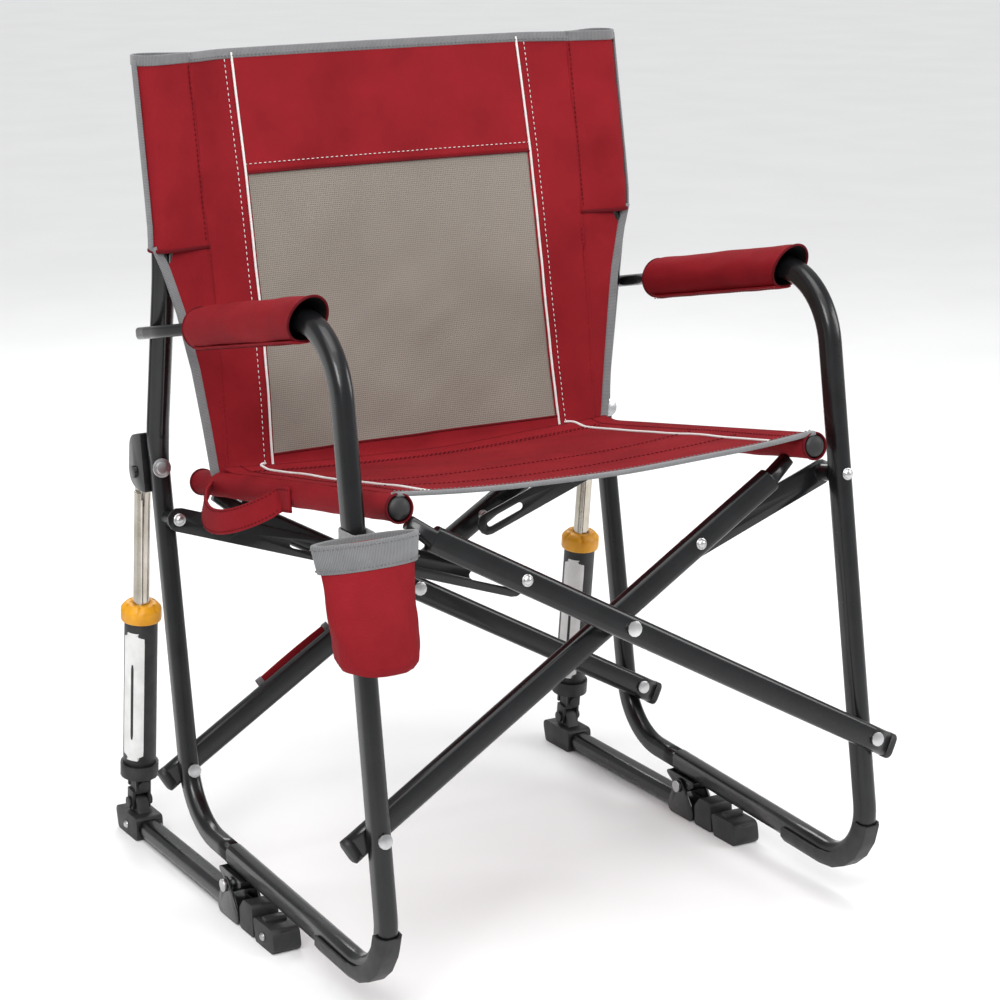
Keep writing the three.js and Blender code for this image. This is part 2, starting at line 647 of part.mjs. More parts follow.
add(fold, 'scissor_a_front', scissorTube(LAYER.frontA, 1), steelPaint);
add(fold, 'scissor_a_rear', scissorTube(LAYER.rearA, 1), steelPaint);
add(fold, 'scissor_b_front', scissorTube(LAYER.frontB, -1), steelPaint);
add(fold, 'scissor_b_rear', scissorTube(LAYER.rearB, -1), steelPaint);
crossing('front_cross_bolt', [LAYER.frontA, LAYER.frontB]);
crossing('rear_cross_bolt', [LAYER.rearA, LAYER.rearB]);
footBolt('left_front_foot_bolt', -1, 256.1, 299.2);
footBolt('right_front_foot_bolt', 1, 272.4, 314.7);
footBolt('left_rear_foot_bolt', -1, -195.1, -154.2);
footBolt('right_rear_foot_bolt', 1, -179.8, -133.1);
add(fold, 'left_front_link', slottedLink(273, -1, 275.4), steelPaint);
add(fold, 'right_front_link', slottedLink(254.6, 1, 275.4), steelPaint);
add(fold, 'left_rear_link', slottedLink(-131.6, -1, -159), steelPaint);
add(fold, 'right_rear_link', slottedLink(-156.3, 1, -159), steelPaint);
add(fold, 'seat_sling', seatSling(), redFabric);
add(fold, 'carry_handle', carryHandle(), redFabric);
add(fold, 'carry_strap', carryStrap(), redFabric);
add(chair, 'back_sling', backSling(), greyMesh);
add(chair, 'cup_holder', cupHolder(), redFabric);

export default chair;
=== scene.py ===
import math

import bpy
from mathutils import Matrix, Vector, noise


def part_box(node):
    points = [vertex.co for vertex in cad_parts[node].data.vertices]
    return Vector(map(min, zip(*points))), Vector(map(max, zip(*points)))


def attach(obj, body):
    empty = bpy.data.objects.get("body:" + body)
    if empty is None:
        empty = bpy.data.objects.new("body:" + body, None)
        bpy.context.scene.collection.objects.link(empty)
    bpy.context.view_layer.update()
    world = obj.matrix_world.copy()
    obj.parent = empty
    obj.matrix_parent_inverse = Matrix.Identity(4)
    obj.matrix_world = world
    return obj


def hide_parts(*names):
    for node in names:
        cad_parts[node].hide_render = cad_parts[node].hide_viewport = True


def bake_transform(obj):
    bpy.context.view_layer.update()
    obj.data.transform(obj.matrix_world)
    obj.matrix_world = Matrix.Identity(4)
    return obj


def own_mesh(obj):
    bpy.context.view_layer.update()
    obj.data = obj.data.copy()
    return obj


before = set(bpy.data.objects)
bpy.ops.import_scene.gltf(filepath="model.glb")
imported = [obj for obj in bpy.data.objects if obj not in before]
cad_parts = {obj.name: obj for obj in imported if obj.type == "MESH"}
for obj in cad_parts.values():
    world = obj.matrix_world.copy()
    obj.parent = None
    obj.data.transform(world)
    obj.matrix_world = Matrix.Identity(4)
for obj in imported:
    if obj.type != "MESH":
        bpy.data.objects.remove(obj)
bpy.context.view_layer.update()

MM = 0.001

# ---------- Places: the chair's own millimetres, and the tilted frame of the scissor fold ----------

GROUND_REAR = 322  # rear end of the ground rails, in the chair's own frame
rail_low, rail_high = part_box("left_ground_rail")
X0 = (rail_low.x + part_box("right_ground_rail")[1].x) / 2
Y0 = rail_high.y - GROUND_REAR * MM
TILT = math.radians(9.3)
FOLD_Y = -31
HALF_WIDTH = 282
LEAN, LEAN_FROM = 0.008, 130
UPRIGHT_RADIUS = 12.25
PIVOT_H, CROSS_H = 149.4, 309.1
RAIL_X, RAIL_H, RAIL_RADIUS = 238, 459, 11
RAIL_REAR = {"left": -160, "right": -202}
LAYER = {"a_front": 264, "b_front": 306.8, "a_rear": -187.2, "b_rear": -141}
LINK_LAYER = {("left", "front"): 273, ("right", "front"): 254.6,
              ("left", "rear"): -131.6, ("right", "rear"): -156.3}
LINK_PIVOT = (279.6, 425)  # across the chair and up, in the fold frame
GROUND_X = 285
SIDES = (("left", -1), ("right", 1))
ACROSS = Vector((1, 0, 0))


def chair(x, y, z):
    return Vector((X0 + x * MM, Y0 + y * MM, z * MM))


def fold(x, s, h):
    """A point s forwards along the fold axis and h up in the fold frame."""
    sine, cosine = math.sin(TILT), math.cos(TILT)
    return chair(x, sine * h - cosine * s + FOLD_Y, sine * s + cosine * h)


FOLD_AXIS = Vector((0, -math.cos(TILT), math.sin(TILT)))
FOLD_UP = Vector((0, math.sin(TILT), math.cos(TILT)))


def lean(z):
    return LEAN * max(0, z - LEAN_FROM)


def along(knots, t):
    """The value at t of a broken line through (t, value) knots."""
    if t <= knots[0][0]:
        return knots[0][1]
    for (t0, v0), (t1, v1) in zip(knots, knots[1:]):
        if t <= t1:
            return v0 + (v1 - v0) * (t - t0) / (t1 - t0)
    return knots[-1][1]


def steps(low, high, count):
    return [low + (high - low) * i / count for i in range(count + 1)]


def smooth(t):
    t = min(1, max(0, t))
    return t * t * (3 - 2 * t)


# ---------- Materials ----------


class Shader:
    """A Principled material whose colour, roughness and bump come from its own nodes."""

    def __init__(self, name, roughness=0.5, metallic=0.0, **fixed):
        self.material = bpy.data.materials.new(name)
        self.material.use_nodes = True
        self.tree = self.material.node_tree
        self.bsdf = self.tree.nodes["Principled BSDF"]
        self.bsdf.inputs["Roughness"].default_value = roughness
        self.bsdf.inputs["Metallic"].default_value = metallic
        for socket, value in fixed.items():
            self.bsdf.inputs[socket.replace("_", " ")].default_value = value
        self.place = self.tree.nodes.new("ShaderNodeTexCoord")

    def link(self, a, b):
        self.tree.links.new(a, b)

    def noise(self, scale, detail=3, source="Object"):
        node = self.tree.nodes.new("ShaderNodeTexNoise")
        node.inputs["Scale"].default_value = scale
        node.inputs["Detail"].default_value = detail
        self.link(self.place.outputs[source], node.inputs["Vector"])
        return node.outputs["Fac"]

    def bands(self, period, direction):
        """Threads or ribs across the surface's own coordinates, in metres."""
        node = self.tree.nodes.new("ShaderNodeTexWave")
        node.bands_direction = direction
        node.inputs["Scale"].default_value = 2 * math.pi / (20 * period)
        node.inputs["Distortion"].default_value = 0.6
        node.inputs["Detail Scale"].default_value = 3
        self.link(self.place.outputs["UV"], node.inputs["Vector"])
        return node.outputs["Fac"]

    def math(self, operation, a, b):
        node = self.tree.nodes.new("ShaderNodeMath")
        node.operation = operation
        for socket, value in zip(node.inputs, (a, b)):
            if isinstance(value, (int, float)):
                socket.default_value = value
            else:
                self.link(value, socket)
        return node.outputs[0]

    def ramp(self, fac, low, high, start=0.3, end=0.7):
        node = self.tree.nodes.new("ShaderNodeValToRGB")
        node.color_ramp.elements[0].position = start
        node.color_ramp.elements[1].position = end
        node.color_ramp.elements[0].color = (*low, 1)
        node.color_ramp.elements[1].color = (*high, 1)
        self.link(fac, node.inputs["Fac"])
        return node.outputs["Color"]

    def colour(self, output):
        self.link(output, self.bsdf.inputs["Base Color"])

    def rough(self, fac, low, high):
        node = self.tree.nodes.new("ShaderNodeMapRange")
        node.inputs["To Min"].default_value = low
        node.inputs["To Max"].default_value = high
        self.link(fac, node.inputs["Value"])
        self.link(node.outputs["Result"], self.bsdf.inputs["Roughness"])

    def bump(self, height, distance, strength=1.0):
        node = self.tree.nodes.new("ShaderNodeBump")
        node.inputs["Distance"].default_value = distance
        node.inputs["Strength"].default_value = strength
        self.link(height, node.inputs["Height"])
        last = self.bsdf.inputs["Normal"].links
        if last:
            self.link(last[0].from_socket, node.inputs["Normal"])
        self.link(node.outputs["Normal"], self.bsdf.inputs["Normal"])


def metal(name, low, high, roughness, metallic, grain, **fixed):
    shader = Shader(name, metallic=metallic, **fixed)
    shader.colour(shader.ramp(shader.noise(38, 4), low, high))
    shader.rough(shader.noise(120, 4), *roughness)
    shader.bump(shader.noise(grain, 2), 0.00012, 0.5)
    return shader.material


def plastic(name, low, high, roughness, grain=1400):
    shader = Shader(name, Specular_IOR_Level=0.45)
    shader.colour(shader.ramp(shader.noise(60, 3), low, high))
    shader.rough(shader.noise(90, 3), *roughness)
    shader.bump(shader.noise(grain, 2), 0.0002, 0.6)
    return shader.material


def woven(name, low, high, period, depth, roughness=0.82, sheen=0.0, creases=0.0016):
    """Plain weave: two sets of threads, cloudy dye and soft creases."""
    shader = Shader(name, roughness=roughness, Sheen_Weight=sheen, Sheen_Roughness=0.45,
                    Specular_IOR_Level=0.12)
    weave = shader.math("MULTIPLY", shader.bands(period, "X"), shader.bands(period, "Y"))
    cloud = shader.math("MULTIPLY", shader.noise(16, 4), 0.75)
    mix = shader.math("ADD", cloud, shader.math("MULTIPLY", weave, 0.35))
    shader.colour(shader.ramp(mix, low, high, 0.25, 0.75))
    shader.rough(shader.noise(400, 2), roughness - 0.1, roughness + 0.08)
    shader.bump(shader.noise(30, 4), creases, 0.5)
    shader.bump(weave, depth, 0.7)
    return shader.material


def open_mesh(name, low, high, hole, period):
    """Knitted mesh: rows of small holes between the threads."""
    shader = Shader(name, roughness=0.8, Sheen_Weight=0.2, Specular_IOR_Level=0.3)
    grid = shader.math("MULTIPLY", shader.bands(period, "X"), shader.bands(period, "Y"))
    yarn = shader.ramp(shader.noise(9, 2), low, high)
    mix = shader.tree.nodes.new("ShaderNodeMix")
    mix.data_type = "RGBA"
    holes = shader.ramp(grid, (0, 0, 0), (1, 1, 1), 0.45, 0.8)
    shader.link(holes, mix.inputs["Factor"])
    shader.link(yarn, mix.inputs["A"])
    mix.inputs["B"].default_value = (*hole, 1)
    shader.colour(mix.outputs["Result"])
    shader.bump(shader.math("SUBTRACT", 1, grid), 0.0004, 0.8)
    return shader.material


def webbing(name, low, high, period=0.0016):
    """Ribbed tape, with its ribs across its length."""
    shader = Shader(name, roughness=0.8, Sheen_Weight=0.3, Specular_IOR_Level=0.3)
    ribs = shader.bands(period, "Y")
    shade = shader.math("MULTIPLY", ribs, 0.5)
    mix = shader.math("ADD", shade, shader.math("MULTIPLY", shader.noise(60), 0.5))
    shader.colour(shader.ramp(mix, low, high))
    shader.bump(ribs, 0.0004, 0.8)
    return shader.material


STEEL = metal("charcoal_paint", (0.004, 0.0042, 0.0048), (0.008, 0.0084, 0.0094), (0.24, 0.34), 0.2, 900,
              Coat_Weight=0.3, Coat_Roughness=0.1, Specular_IOR_Level=0.35)
ZINC = metal("zinc_plate", (0.42, 0.42, 0.43), (0.66, 0.66, 0.66), (0.22, 0.42), 1.0, 500)
ROD = metal("polished_rod", (0.42, 0.38, 0.32), (0.6, 0.56, 0.5), (0.12, 0.24), 1.0, 300)
BLACK = plastic("black_plastic", (0.008, 0.008, 0.009), (0.02, 0.02, 0.021), (0.42, 0.6))
YELLOW = plastic("yellow_plastic", (0.6, 0.25, 0.004), (0.76, 0.35, 0.008), (0.34, 0.5))
LABEL = plastic("label_film", (0.62, 0.62, 0.61), (0.74, 0.74, 0.73), (0.3, 0.4), 300)
RED = woven("red_polyester", (0.165, 0.0058, 0.0098), (0.255, 0.0108, 0.0165), 0.0011, 0.00022)
SEAM = woven("red_seam", (0.08, 0.0035, 0.006), (0.13, 0.006, 0.01), 0.0009, 0.0003)
LINING = woven("black_lining", (0.006, 0.006, 0.006), (0.016, 0.016, 0.017), 0.0011, 0.0003)
MESH = open_mesh("beige_mesh", (0.2, 0.177, 0.15), (0.23, 0.204, 0.174), (0.1, 0.087, 0.074), 0.0022)
GREY = webbing("grey_tape", (0.115, 0.116, 0.12), (0.19, 0.192, 0.197))
WHITE = webbing("white_piping", (0.6, 0.58, 0.56), (0.78, 0.77, 0.75), 0.0012)

# ---------- Meshes ----------


def skin(name, rows, material, wrap=False, caps=False):
    """A surface through rows of points. Its UVs are lengths in metres along and across the rows."""
    count = len(rows[0])
    verts = [p for row in rows for p in row]
    us = [0.0]
    middle = rows[len(rows) // 2]
    for a, b in zip(middle, middle[1:] + middle[:1]):
        us.append(us[-1] + (b - a).length)
    vs = [0.0]
    for a, b in zip(rows, rows[1:]):
        vs.append(vs[-1] + (b[count // 2] - a[count // 2]).length)
    faces, uvs = [], []
    for i in range(len(rows) - 1):
        for j in range(count if wrap else count - 1):
            k = (j + 1) % count
            faces.append((i * count + j, i * count + k, (i + 1) * count + k, (i + 1) * count + j))
            uvs += [(us[j], vs[i]), (us[j + 1], vs[i]), (us[j + 1], vs[i + 1]), (us[j], vs[i + 1])]
    if caps:
        last = (len(rows) - 1) * count
        for face in (tuple(reversed(range(count))), tuple(range(last, last + count))):
            faces.append(face)
            uvs += [(us[v % count], 0.0) for v in face]
    mesh = bpy.data.meshes.new(name)
    mesh.from_pydata(verts, [], faces)
    layer = mesh.uv_layers.new(name="UVMap")
    layer.data.foreach_set("uv", [c for uv in uvs for c in uv])
    mesh.materials.append(material)
    mesh.shade_smooth()
    mesh.update()
    piece = bpy.data.objects.new(name, mesh)
    bpy.context.scene.collection.objects.link(piece)
    return piece


def settle(piece):
    """Makes a piece's modifiers part of its mesh."""
    bpy.context.view_layer.update()
    graph = bpy.context.evaluated_depsgraph_get()
    mesh = bpy.data.meshes.new_from_object(piece.evaluated_get(graph))
    piece.modifiers.clear()
    piece.data = mesh
    return piece


def cloth(name, rows, material, thick=1.2):
    piece = skin(name, rows, material)
    solid = piece.modifiers.new("thickness", "SOLIDIFY")
    solid.thickness = thick * MM
    solid.offset = 0
    return settle(piece)


def rounded(across, deep, radius, per_corner=6):
    points = []
    for corner, (sx, sy) in enumerate(((1, 1), (-1, 1), (-1, -1), (1, -1))):
        for i in range(per_corner):
            angle = math.pi / 2 * (corner + i / (per_corner - 1))
            points.append((sx * (across / 2 - radius) + radius * math.cos(angle),
                           sy * (deep / 2 - radius) + radius * math.sin(angle)))
    return points


def tangents(path):
    ends = [path[0]] + list(path) + [path[-1]]
    return [(c - a).normalized() for a, c in zip(ends, ends[2:])]


def sweep(name, path, ups, section, material, caps=True):
    """A section (or one for each point) carried along a path. Its second coordinate follows the ups."""
    rows = []
    for i, (at, heading) in enumerate(zip(path, tangents(path))):
        up = ups[i] if isinstance(ups, list) else ups
        up = (up - heading * up.dot(heading)).normalized()
        side = heading.cross(up)
        outline = section(i) if callable(section) else section
        rows.append([at + (side * a + up * b) * MM for a, b in outline])
    return skin(name, rows, material, wrap=True, caps=caps)


def turned(name, profile, place, axis, material, sides=32):
    """A solid turned round an axis, from (radius, distance) pairs in millimetres."""
    axis = axis.normalized()
    side = axis.orthogonal().normalized()
    other = axis.cross(side)
    rows = []
    for radius, distance in profile:
        ring = []
        for i in range(sides):
            angle = 2 * math.pi * i / sides
            out = side * math.cos(angle) + other * math.sin(angle)
            ring.append(place + (axis * distance + out * max(radius, 0.01)) * MM)
        rows.append(ring)
    return skin(name, rows, material, wrap=True, caps=True)


def rivet(name, place, axis, body, radius=6, washer=8, material=None):
    """A domed rivet head on a thin washer."""
    dome = [(radius * math.cos(a), 1.2 + 0.55 * radius * math.sin(a)) for a in steps(0, math.pi / 2, 6)]
    profile = [(washer - 0.6, -1), (washer, -0.4), (washer, 0.6), (washer - 0.5, 1.1),
               (radius + 0.2, 1.2), *dome]
    piece = turned(name, profile, place, axis, material or ZINC, 28)
    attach(piece, body)
    return piece


def stitches(name, path, ups, material, dash=3.6, space=2.2, lift=0.7, radius=0.5):
    """A row of sewn stitches that follows a path just above the cloth."""
    verts, faces = [], []
    turn = [(math.cos(a), math.sin(a)) for a in steps(0, 2 * math.pi, 6)[:-1]]
    walked, due = 0.0, 0.0
    for i, (a, b) in enumerate(zip(path, path[1:])):
        length = (b - a).length / MM
        heading = (b - a).normalized()
        up = ups[i] if isinstance(ups, list) else ups
        up = (up - heading * up.dot(heading)).normalized()
        side = heading.cross(up)
        while due < walked + length:
            centre = a + heading * (due - walked) * MM
            base = len(verts)
            for t, fat, high in ((-0.5, 0.4, -0.5), (-0.3, 1, 0), (0.3, 1, 0), (0.5, 0.4, -0.5)):
                hub = centre + (heading * dash * t + up * (lift + high)) * MM
                verts += [hub + (side * c + up * s) * radius * fat * MM for c, s in turn]
            for k in range(3):
                for j in range(6):
                    n = (j + 1) % 6
                    low, high = base + 6 * k, base + 6 * k + 6
                    faces.append((low + j, low + n, high + n, high + j))
            faces += [tuple(base + j for j in reversed(range(6))), tuple(base + 18 + j for j in range(6))]
            due += dash + space
        walked += length
    mesh = bpy.data.meshes.new(name)
    mesh.from_pydata(verts, [], faces)
    mesh.materials.append(material)
    mesh.shade_smooth()
    piece = bpy.data.objects.new(name, mesh)
    bpy.context.scene.collection.objects.link(piece)
    return piece


def bent_path(corners, per_bend=16):
    """Points [y, z] of a path that turns at corners [y, z, radius]."""
    points = [Vector(c[:2]) for c in corners]
    path = [points[0]]
    for i in range(1, len(points) - 1):
        into = (points[i] - points[i - 1]).normalized()
        out = (points[i + 1] - points[i]).normalized()
        turn = into.angle(out)
        radius = corners[i][2]
        start = points[i] - into * radius * math.tan(turn / 2)
        side = (out - into * out.dot(into)).normalized()
        for step in range(per_bend + 1):
            angle = turn * step / per_bend
            path.append(start + into * radius * math.sin(angle) + side * radius * (1 - math.cos(angle)))
    path.append(points[-1])
    return path


def wrinkle(x, y, z, size, depth):
    """A smooth random offset, the same on each run."""
    return depth * noise.noise(Vector((x, y, z)) / size)


# ---------- Frame tubes ----------

ARM = Vector((210, 594.5)) - Vector((-212.5, 679.8))
ARM_SLOPE = -ARM.y / ARM.x


def arm_z(y):
    return 594.5 + ARM_SLOPE * (210 - y)


def mixed(a, b, t):
    return [(p[0] + (q[0] - p[0]) * t, p[1] + (q[1] - p[1]) * t) for p, q in zip(a, b)]


def side_tubes(name, side):
    leg, loop = rounded(20, 22, 8), rounded(20, 24, 8)
    round_tube, tail = rounded(24.5, 24.5, UPRIGHT_RADIUS), rounded(12, 13, 4)

    def placed(points):
        return [chair(side * (HALF_WIDTH - lean(p.y)), p.x, p.y) for p in points]

    path = bent_path([(217, 872), (184, 690, 300), (220, 472, 160), (149.5, 65, 76), (45.3, 61)])
    extra = [p for a, b in zip(path, path[1:]) for p in ([a, (a + b) / 2] if (a - b).length > 30 else [a])]
    path = extra + [path[-1]]
    upright = sweep(f"{name}_rear_leg", placed(path), -ACROSS,
                    lambda i: mixed([(b, a) for a, b in leg], [(b, a) for a, b in round_tube],
                                    smooth((path[i].y - 450) / 32)), STEEL)
    path = bent_path([(45, 61), (-312.5, 46.6, 62), (-212.5, 679.8, 78), (210, 594.5)])
    end = path.pop()
    back = (path[-1] - end).normalized()
    points = placed(path)
    sections = [[(b, a) for a, b in loop]] * len(path)
    for distance in [*steps(134, 42, 20), 20, 0]:
        at = end + back * distance
        offset = smooth((126 - distance) / 84) * (UPRIGHT_RADIUS + 6.3)
        points.append(chair(side * (HALF_WIDTH - lean(at.y) + offset), at.x, at.y))
        sections.append([(b, a) for a, b in mixed(loop, tail, smooth((134 - distance) / 18))])
    front = sweep(f"{name}_front_leg_and_arm", points, -ACROSS, lambda i: sections[i], STEEL)
    for piece, node in ((upright, f"{name}_rear_tube"), (front, f"{name}_front_tube")):
        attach(piece, f"frame_{name}")
        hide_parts(node)


def scissor_tube(node, layer, toward, body):
    """A flat-sided tube from its foot bolt, over the crossing, up to the seat rail."""
    rise = Vector((HALF_WIDTH, CROSS_H - PIVOT_H))
    half = rise.length
    rise.normalize()
    start = Vector((0, CROSS_H)) - rise * (half + 24)
    bend = Vector((0, CROSS_H)) + rise * 238
    path = bent_path([tuple(start), (*bend, 30), (RAIL_X - 7, RAIL_H - 14)], 6)
    path = [path[0]] + [path[0].lerp(path[1], t) for t in steps(0.05, 0.98, 20)] + path[1:]
    points = [fold(toward * p.x, layer, p.y) for p in path]
    wide, neck = rounded(26, 15, 6), rounded(14, 15, 5)
    count = len(path)
    piece = sweep(node.replace("scissor", "cross_leg"), points, FOLD_AXIS,
                  lambda i: mixed(wide, neck, smooth((i - count + 4) / 3)), STEEL)
    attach(piece, body)
    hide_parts(node)
    ends = points[0] + (points[0] - points[1]).normalized() * 1.2 * MM
    plug = sweep(f"{node}_end_plug", [points[0] + (points[1] - points[0]).normalized() * 6 * MM, ends,
                                      ends + (points[0] - points[1]).normalized() * 1.6 * MM], FOLD_AXIS,
                 lambda i: rounded(27, 16, 7.5) if i < 2 else rounded(22, 11, 5), BLACK)
    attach(plug, body)


def seat_rail(name, side, body):
    spine = fold(side * RAIL_X, 0, RAIL_H)
    rear = RAIL_REAR[name]
    bar = turned(f"{name}_seat_bar", [(9.5, rear), (11, rear + 1), (11, 297)], spine, FOLD_AXIS, STEEL)
    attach(bar, body)
    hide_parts(f"{name}_seat_rail")
    dome = [(11.4 * math.cos(a), 304 + 5 * math.sin(a)) for a in steps(0, math.pi / 2, 7)]
    cap = turned(f"{name}_seat_bar_cap", [(10, 290), (11.4, 291), *dome], spine, FOLD_AXIS, BLACK)
    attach(cap, body)


def ground_rail(name, side):
    lines = [chair(side * GROUND_X, y, 13) for y in (322, 321, 100, -82, -84)]
    piece = sweep(f"{name}_ground_bar", lines, ACROSS, [(b, a) for a, b in rounded(25, 20, 8)], STEEL)
    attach(piece, f"stand_{name}")
    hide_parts(f"{name}_ground_rail")


# ---------- Spring pistons ----------


def piston(name, side):
    foot = chair(side * GROUND_X, 300, 38)
    axis = (chair(side * GROUND_X, 250, 435) - foot).normalized()
    barrel = turned(f"{name}_spring_barrel",
                    [(15, 40), (17.6, 40), (18.5, 41.5), (18.5, 226), (18.1, 231.5), (16.6, 232)],
                    foot, axis, BLACK, 48)
    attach(barrel, f"cylinder_{name}")
    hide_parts(f"{name}_cylinder")
    rows = []
    for radius, distance in ((18.9, 225), (22, 225.4), (22.6, 227), (22.6, 238), (22, 240), (17.8, 244.6),
                             (16.5, 245.4), (9.6, 245.4), (9.4, 243)):
        ring = []
        for i in range(72):
            angle = 2 * math.pi * i / 72
            notch = 2.4 if i % 12 < 2 and 238 < distance < 245 else 0
            out = ACROSS * math.cos(angle) + axis.cross(ACROSS) * math.sin(angle)
            ring.append(foot + (axis * distance + out * (radius - notch)) * MM)
        rows.append(ring)
    collar = skin(f"{name}_yellow_collar", rows, YELLOW, wrap=True)
    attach(collar, f"cylinder_{name}")
    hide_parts(f"{name}_guide_cap")

    turn = -38  # degrees that the label faces away from the chair's side

    def patch(label, material, low, high, spread, radius):
        rows = []
        for distance in steps(low, high, 24):
            inset = 9 * (1 - math.sqrt(max(0, 1 - (1 - min(distance - low, high - distance, 9) / 9) ** 2)))
            reach = spread * (1 - inset / 18)
            angles = steps(turn - reach, turn + reach, 14)
            rows.append([foot + (axis * distance - ACROSS * radius * math.cos(math.radians(a))
                                 + axis.cross(ACROSS) * radius * math.sin(math.radians(a))) * MM
                         for a in angles])
        piece = skin(f"{name}_{label}", rows, material)
        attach(piece, f"cylinder_{name}")

    patch("barrel_label", LABEL, 58, 214, 42, 18.62)
    patch("label_bar", BLACK, 84, 176, 5, 18.75)


# ---------- Backrest ----------

BACK_LOW, BACK_TOP, NOTCH = 443, 880, 690
SLEEVE_X = 229  # stitch line of the sleeves
PIPING = [(443, 179), (590, 175), (755, 175), (880, 174)]
Y_PIPING = [(443, 144), (590, 171), (755, 203), (880, 234)]
Y_EDGE = [(443, 152), (560, 162), (690, 181), (880, 213)]
WING = [(443, 241), (449, 243), (500, 249), (560, 257), (620, 268), (665, 280), (690, 289)]
BAND_LOW, STRIP_TOP = 755, 462


def back_y(x, z):
    """Depth of the backrest cloth, which hollows between the uprights."""
    piping = along(PIPING, z)
    y = along(Y_PIPING, z)
    x = abs(x)
    if x <= piping:
        y += 5 * (1 - (x / piping) ** 2)
    else:
        y += (along(Y_EDGE, z) - y) * smooth((x - piping) / (SLEEVE_X + 14 - piping))
    return y


def back_point(x, z, lift=0.0):
    loose = smooth((BAND_LOW - z) / 200) * (1 - (min(abs(x), 240) / 250) ** 4)
    y = back_y(x, z) + loose * (wrinkle(x + 0.5 * z, 0, z, 95, 4) + wrinkle(x - z, 9, z, 38, 1.2))
    y += wrinkle(x, 40, z * 0.4, 46, 1.1)
    return chair(x, y - lift, z)


BACK_OUT = Vector((0, -1, 0.25)).normalized()


def back_fold(piece):
    """Attaches a backrest piece to the left frame and gives it a mesh of its own."""
    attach(piece, "frame_left")
    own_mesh(piece)
    return piece


def back_panel(name, material, lefts, rights, low, high, columns, rows, lift, slot="red_fabric"):
    grid = []
    for z in steps(low, high, rows):
        grid.append([back_point(x, z, lift) for x in steps(lefts(z), rights(z), columns)])
    return declared(cloth(name, grid, material)), slot


def declared(piece):
    """Returns the piece unchanged."""
    return piece


def backrest():
    left = lambda z: -along(PIPING, z)
    right = lambda z: along(PIPING, z)
    parts = [
        back_panel("back_mesh", MESH, left, right, STRIP_TOP - 6, BAND_LOW + 6, 70, 64, 0, "grey_mesh"),
        back_panel("back_top_band", RED, left, right, BAND_LOW, BACK_TOP, 70, 24, 1.4),
        back_panel("back_low_strip", RED, left, right, BACK_LOW - 4, STRIP_TOP, 70, 5, 1.2),
        back_panel("back_left_strip", RED, lambda z: -SLEEVE_X - 3, lambda z: left(z) + 3,
                   BACK_LOW, BACK_TOP, 12, 80, 0.7),
        back_panel("back_right_strip", RED, lambda z: right(z) - 3, lambda z: SLEEVE_X + 3,
                   BACK_LOW, BACK_TOP, 12, 80, 0.7),
    ]
    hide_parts("back_sling")
    for piece, slot in parts:
        back_fold(piece)
    tall = steps(BACK_LOW, BACK_TOP, 80)
    for name, side in SIDES:
        line = [back_point(side * along(PIPING, z), z, 2.2) for z in tall]
        back_fold(sweep(f"back_{name}_piping", line, BACK_OUT, rounded(2.6, 2.2, 1), WHITE))
        line = [back_point(side * (along(PIPING, z) + 9), z, 1.4) for z in tall]
        back_fold(stitches(f"back_{name}_stitches", line, BACK_OUT, WHITE, dash=3.4, space=2.6))
    wide = steps(-174, 174, 60)
    line = [back_point(x, BAND_LOW + 10, 2.2) for x in wide]
    back_fold(stitches("band_stitches", line, BACK_OUT, WHITE, dash=3.2, space=2.6, radius=0.45))
    line = [back_point(x, BAND_LOW + 0.5, 2.0) for x in wide]
    back_fold(sweep("band_hem", line, BACK_OUT, rounded(2.4, 1.8, 0.8), SEAM))
    line = [back_point(x, STRIP_TOP - 1, 2.0) for x in steps(-178, 178, 60)]
    back_fold(sweep("low_strip_hem", line, BACK_OUT, rounded(2.2, 1.8, 0.8), SEAM))
    line = [back_point(x, BACK_TOP - 1, 0.7) for x in steps(-SLEEVE_X - 2, SLEEVE_X + 2, 80)]
    back_fold(sweep("back_top_binding", line, BACK_OUT, rounded(11, 4.2, 1.8), GREY))
    line = [back_point(x, BACK_TOP - 3, 3.2) for x in steps(-SLEEVE_X, SLEEVE_X, 80)]
    back_fold(stitches("top_binding_stitches", line, BACK_OUT, GREY, dash=2.6, space=2))
    for name, side in SIDES:
        back_side(name, side)


def upright_at(z, side):
    y = along([(472, 217.8), (520, 212.4), (640, 193.4), (672, 189), (690, 187.6), (708, 188), (740, 193.1),
               (872, 217), (890, 220)], z)
    return side * (HALF_WIDTH - lean(z)), y


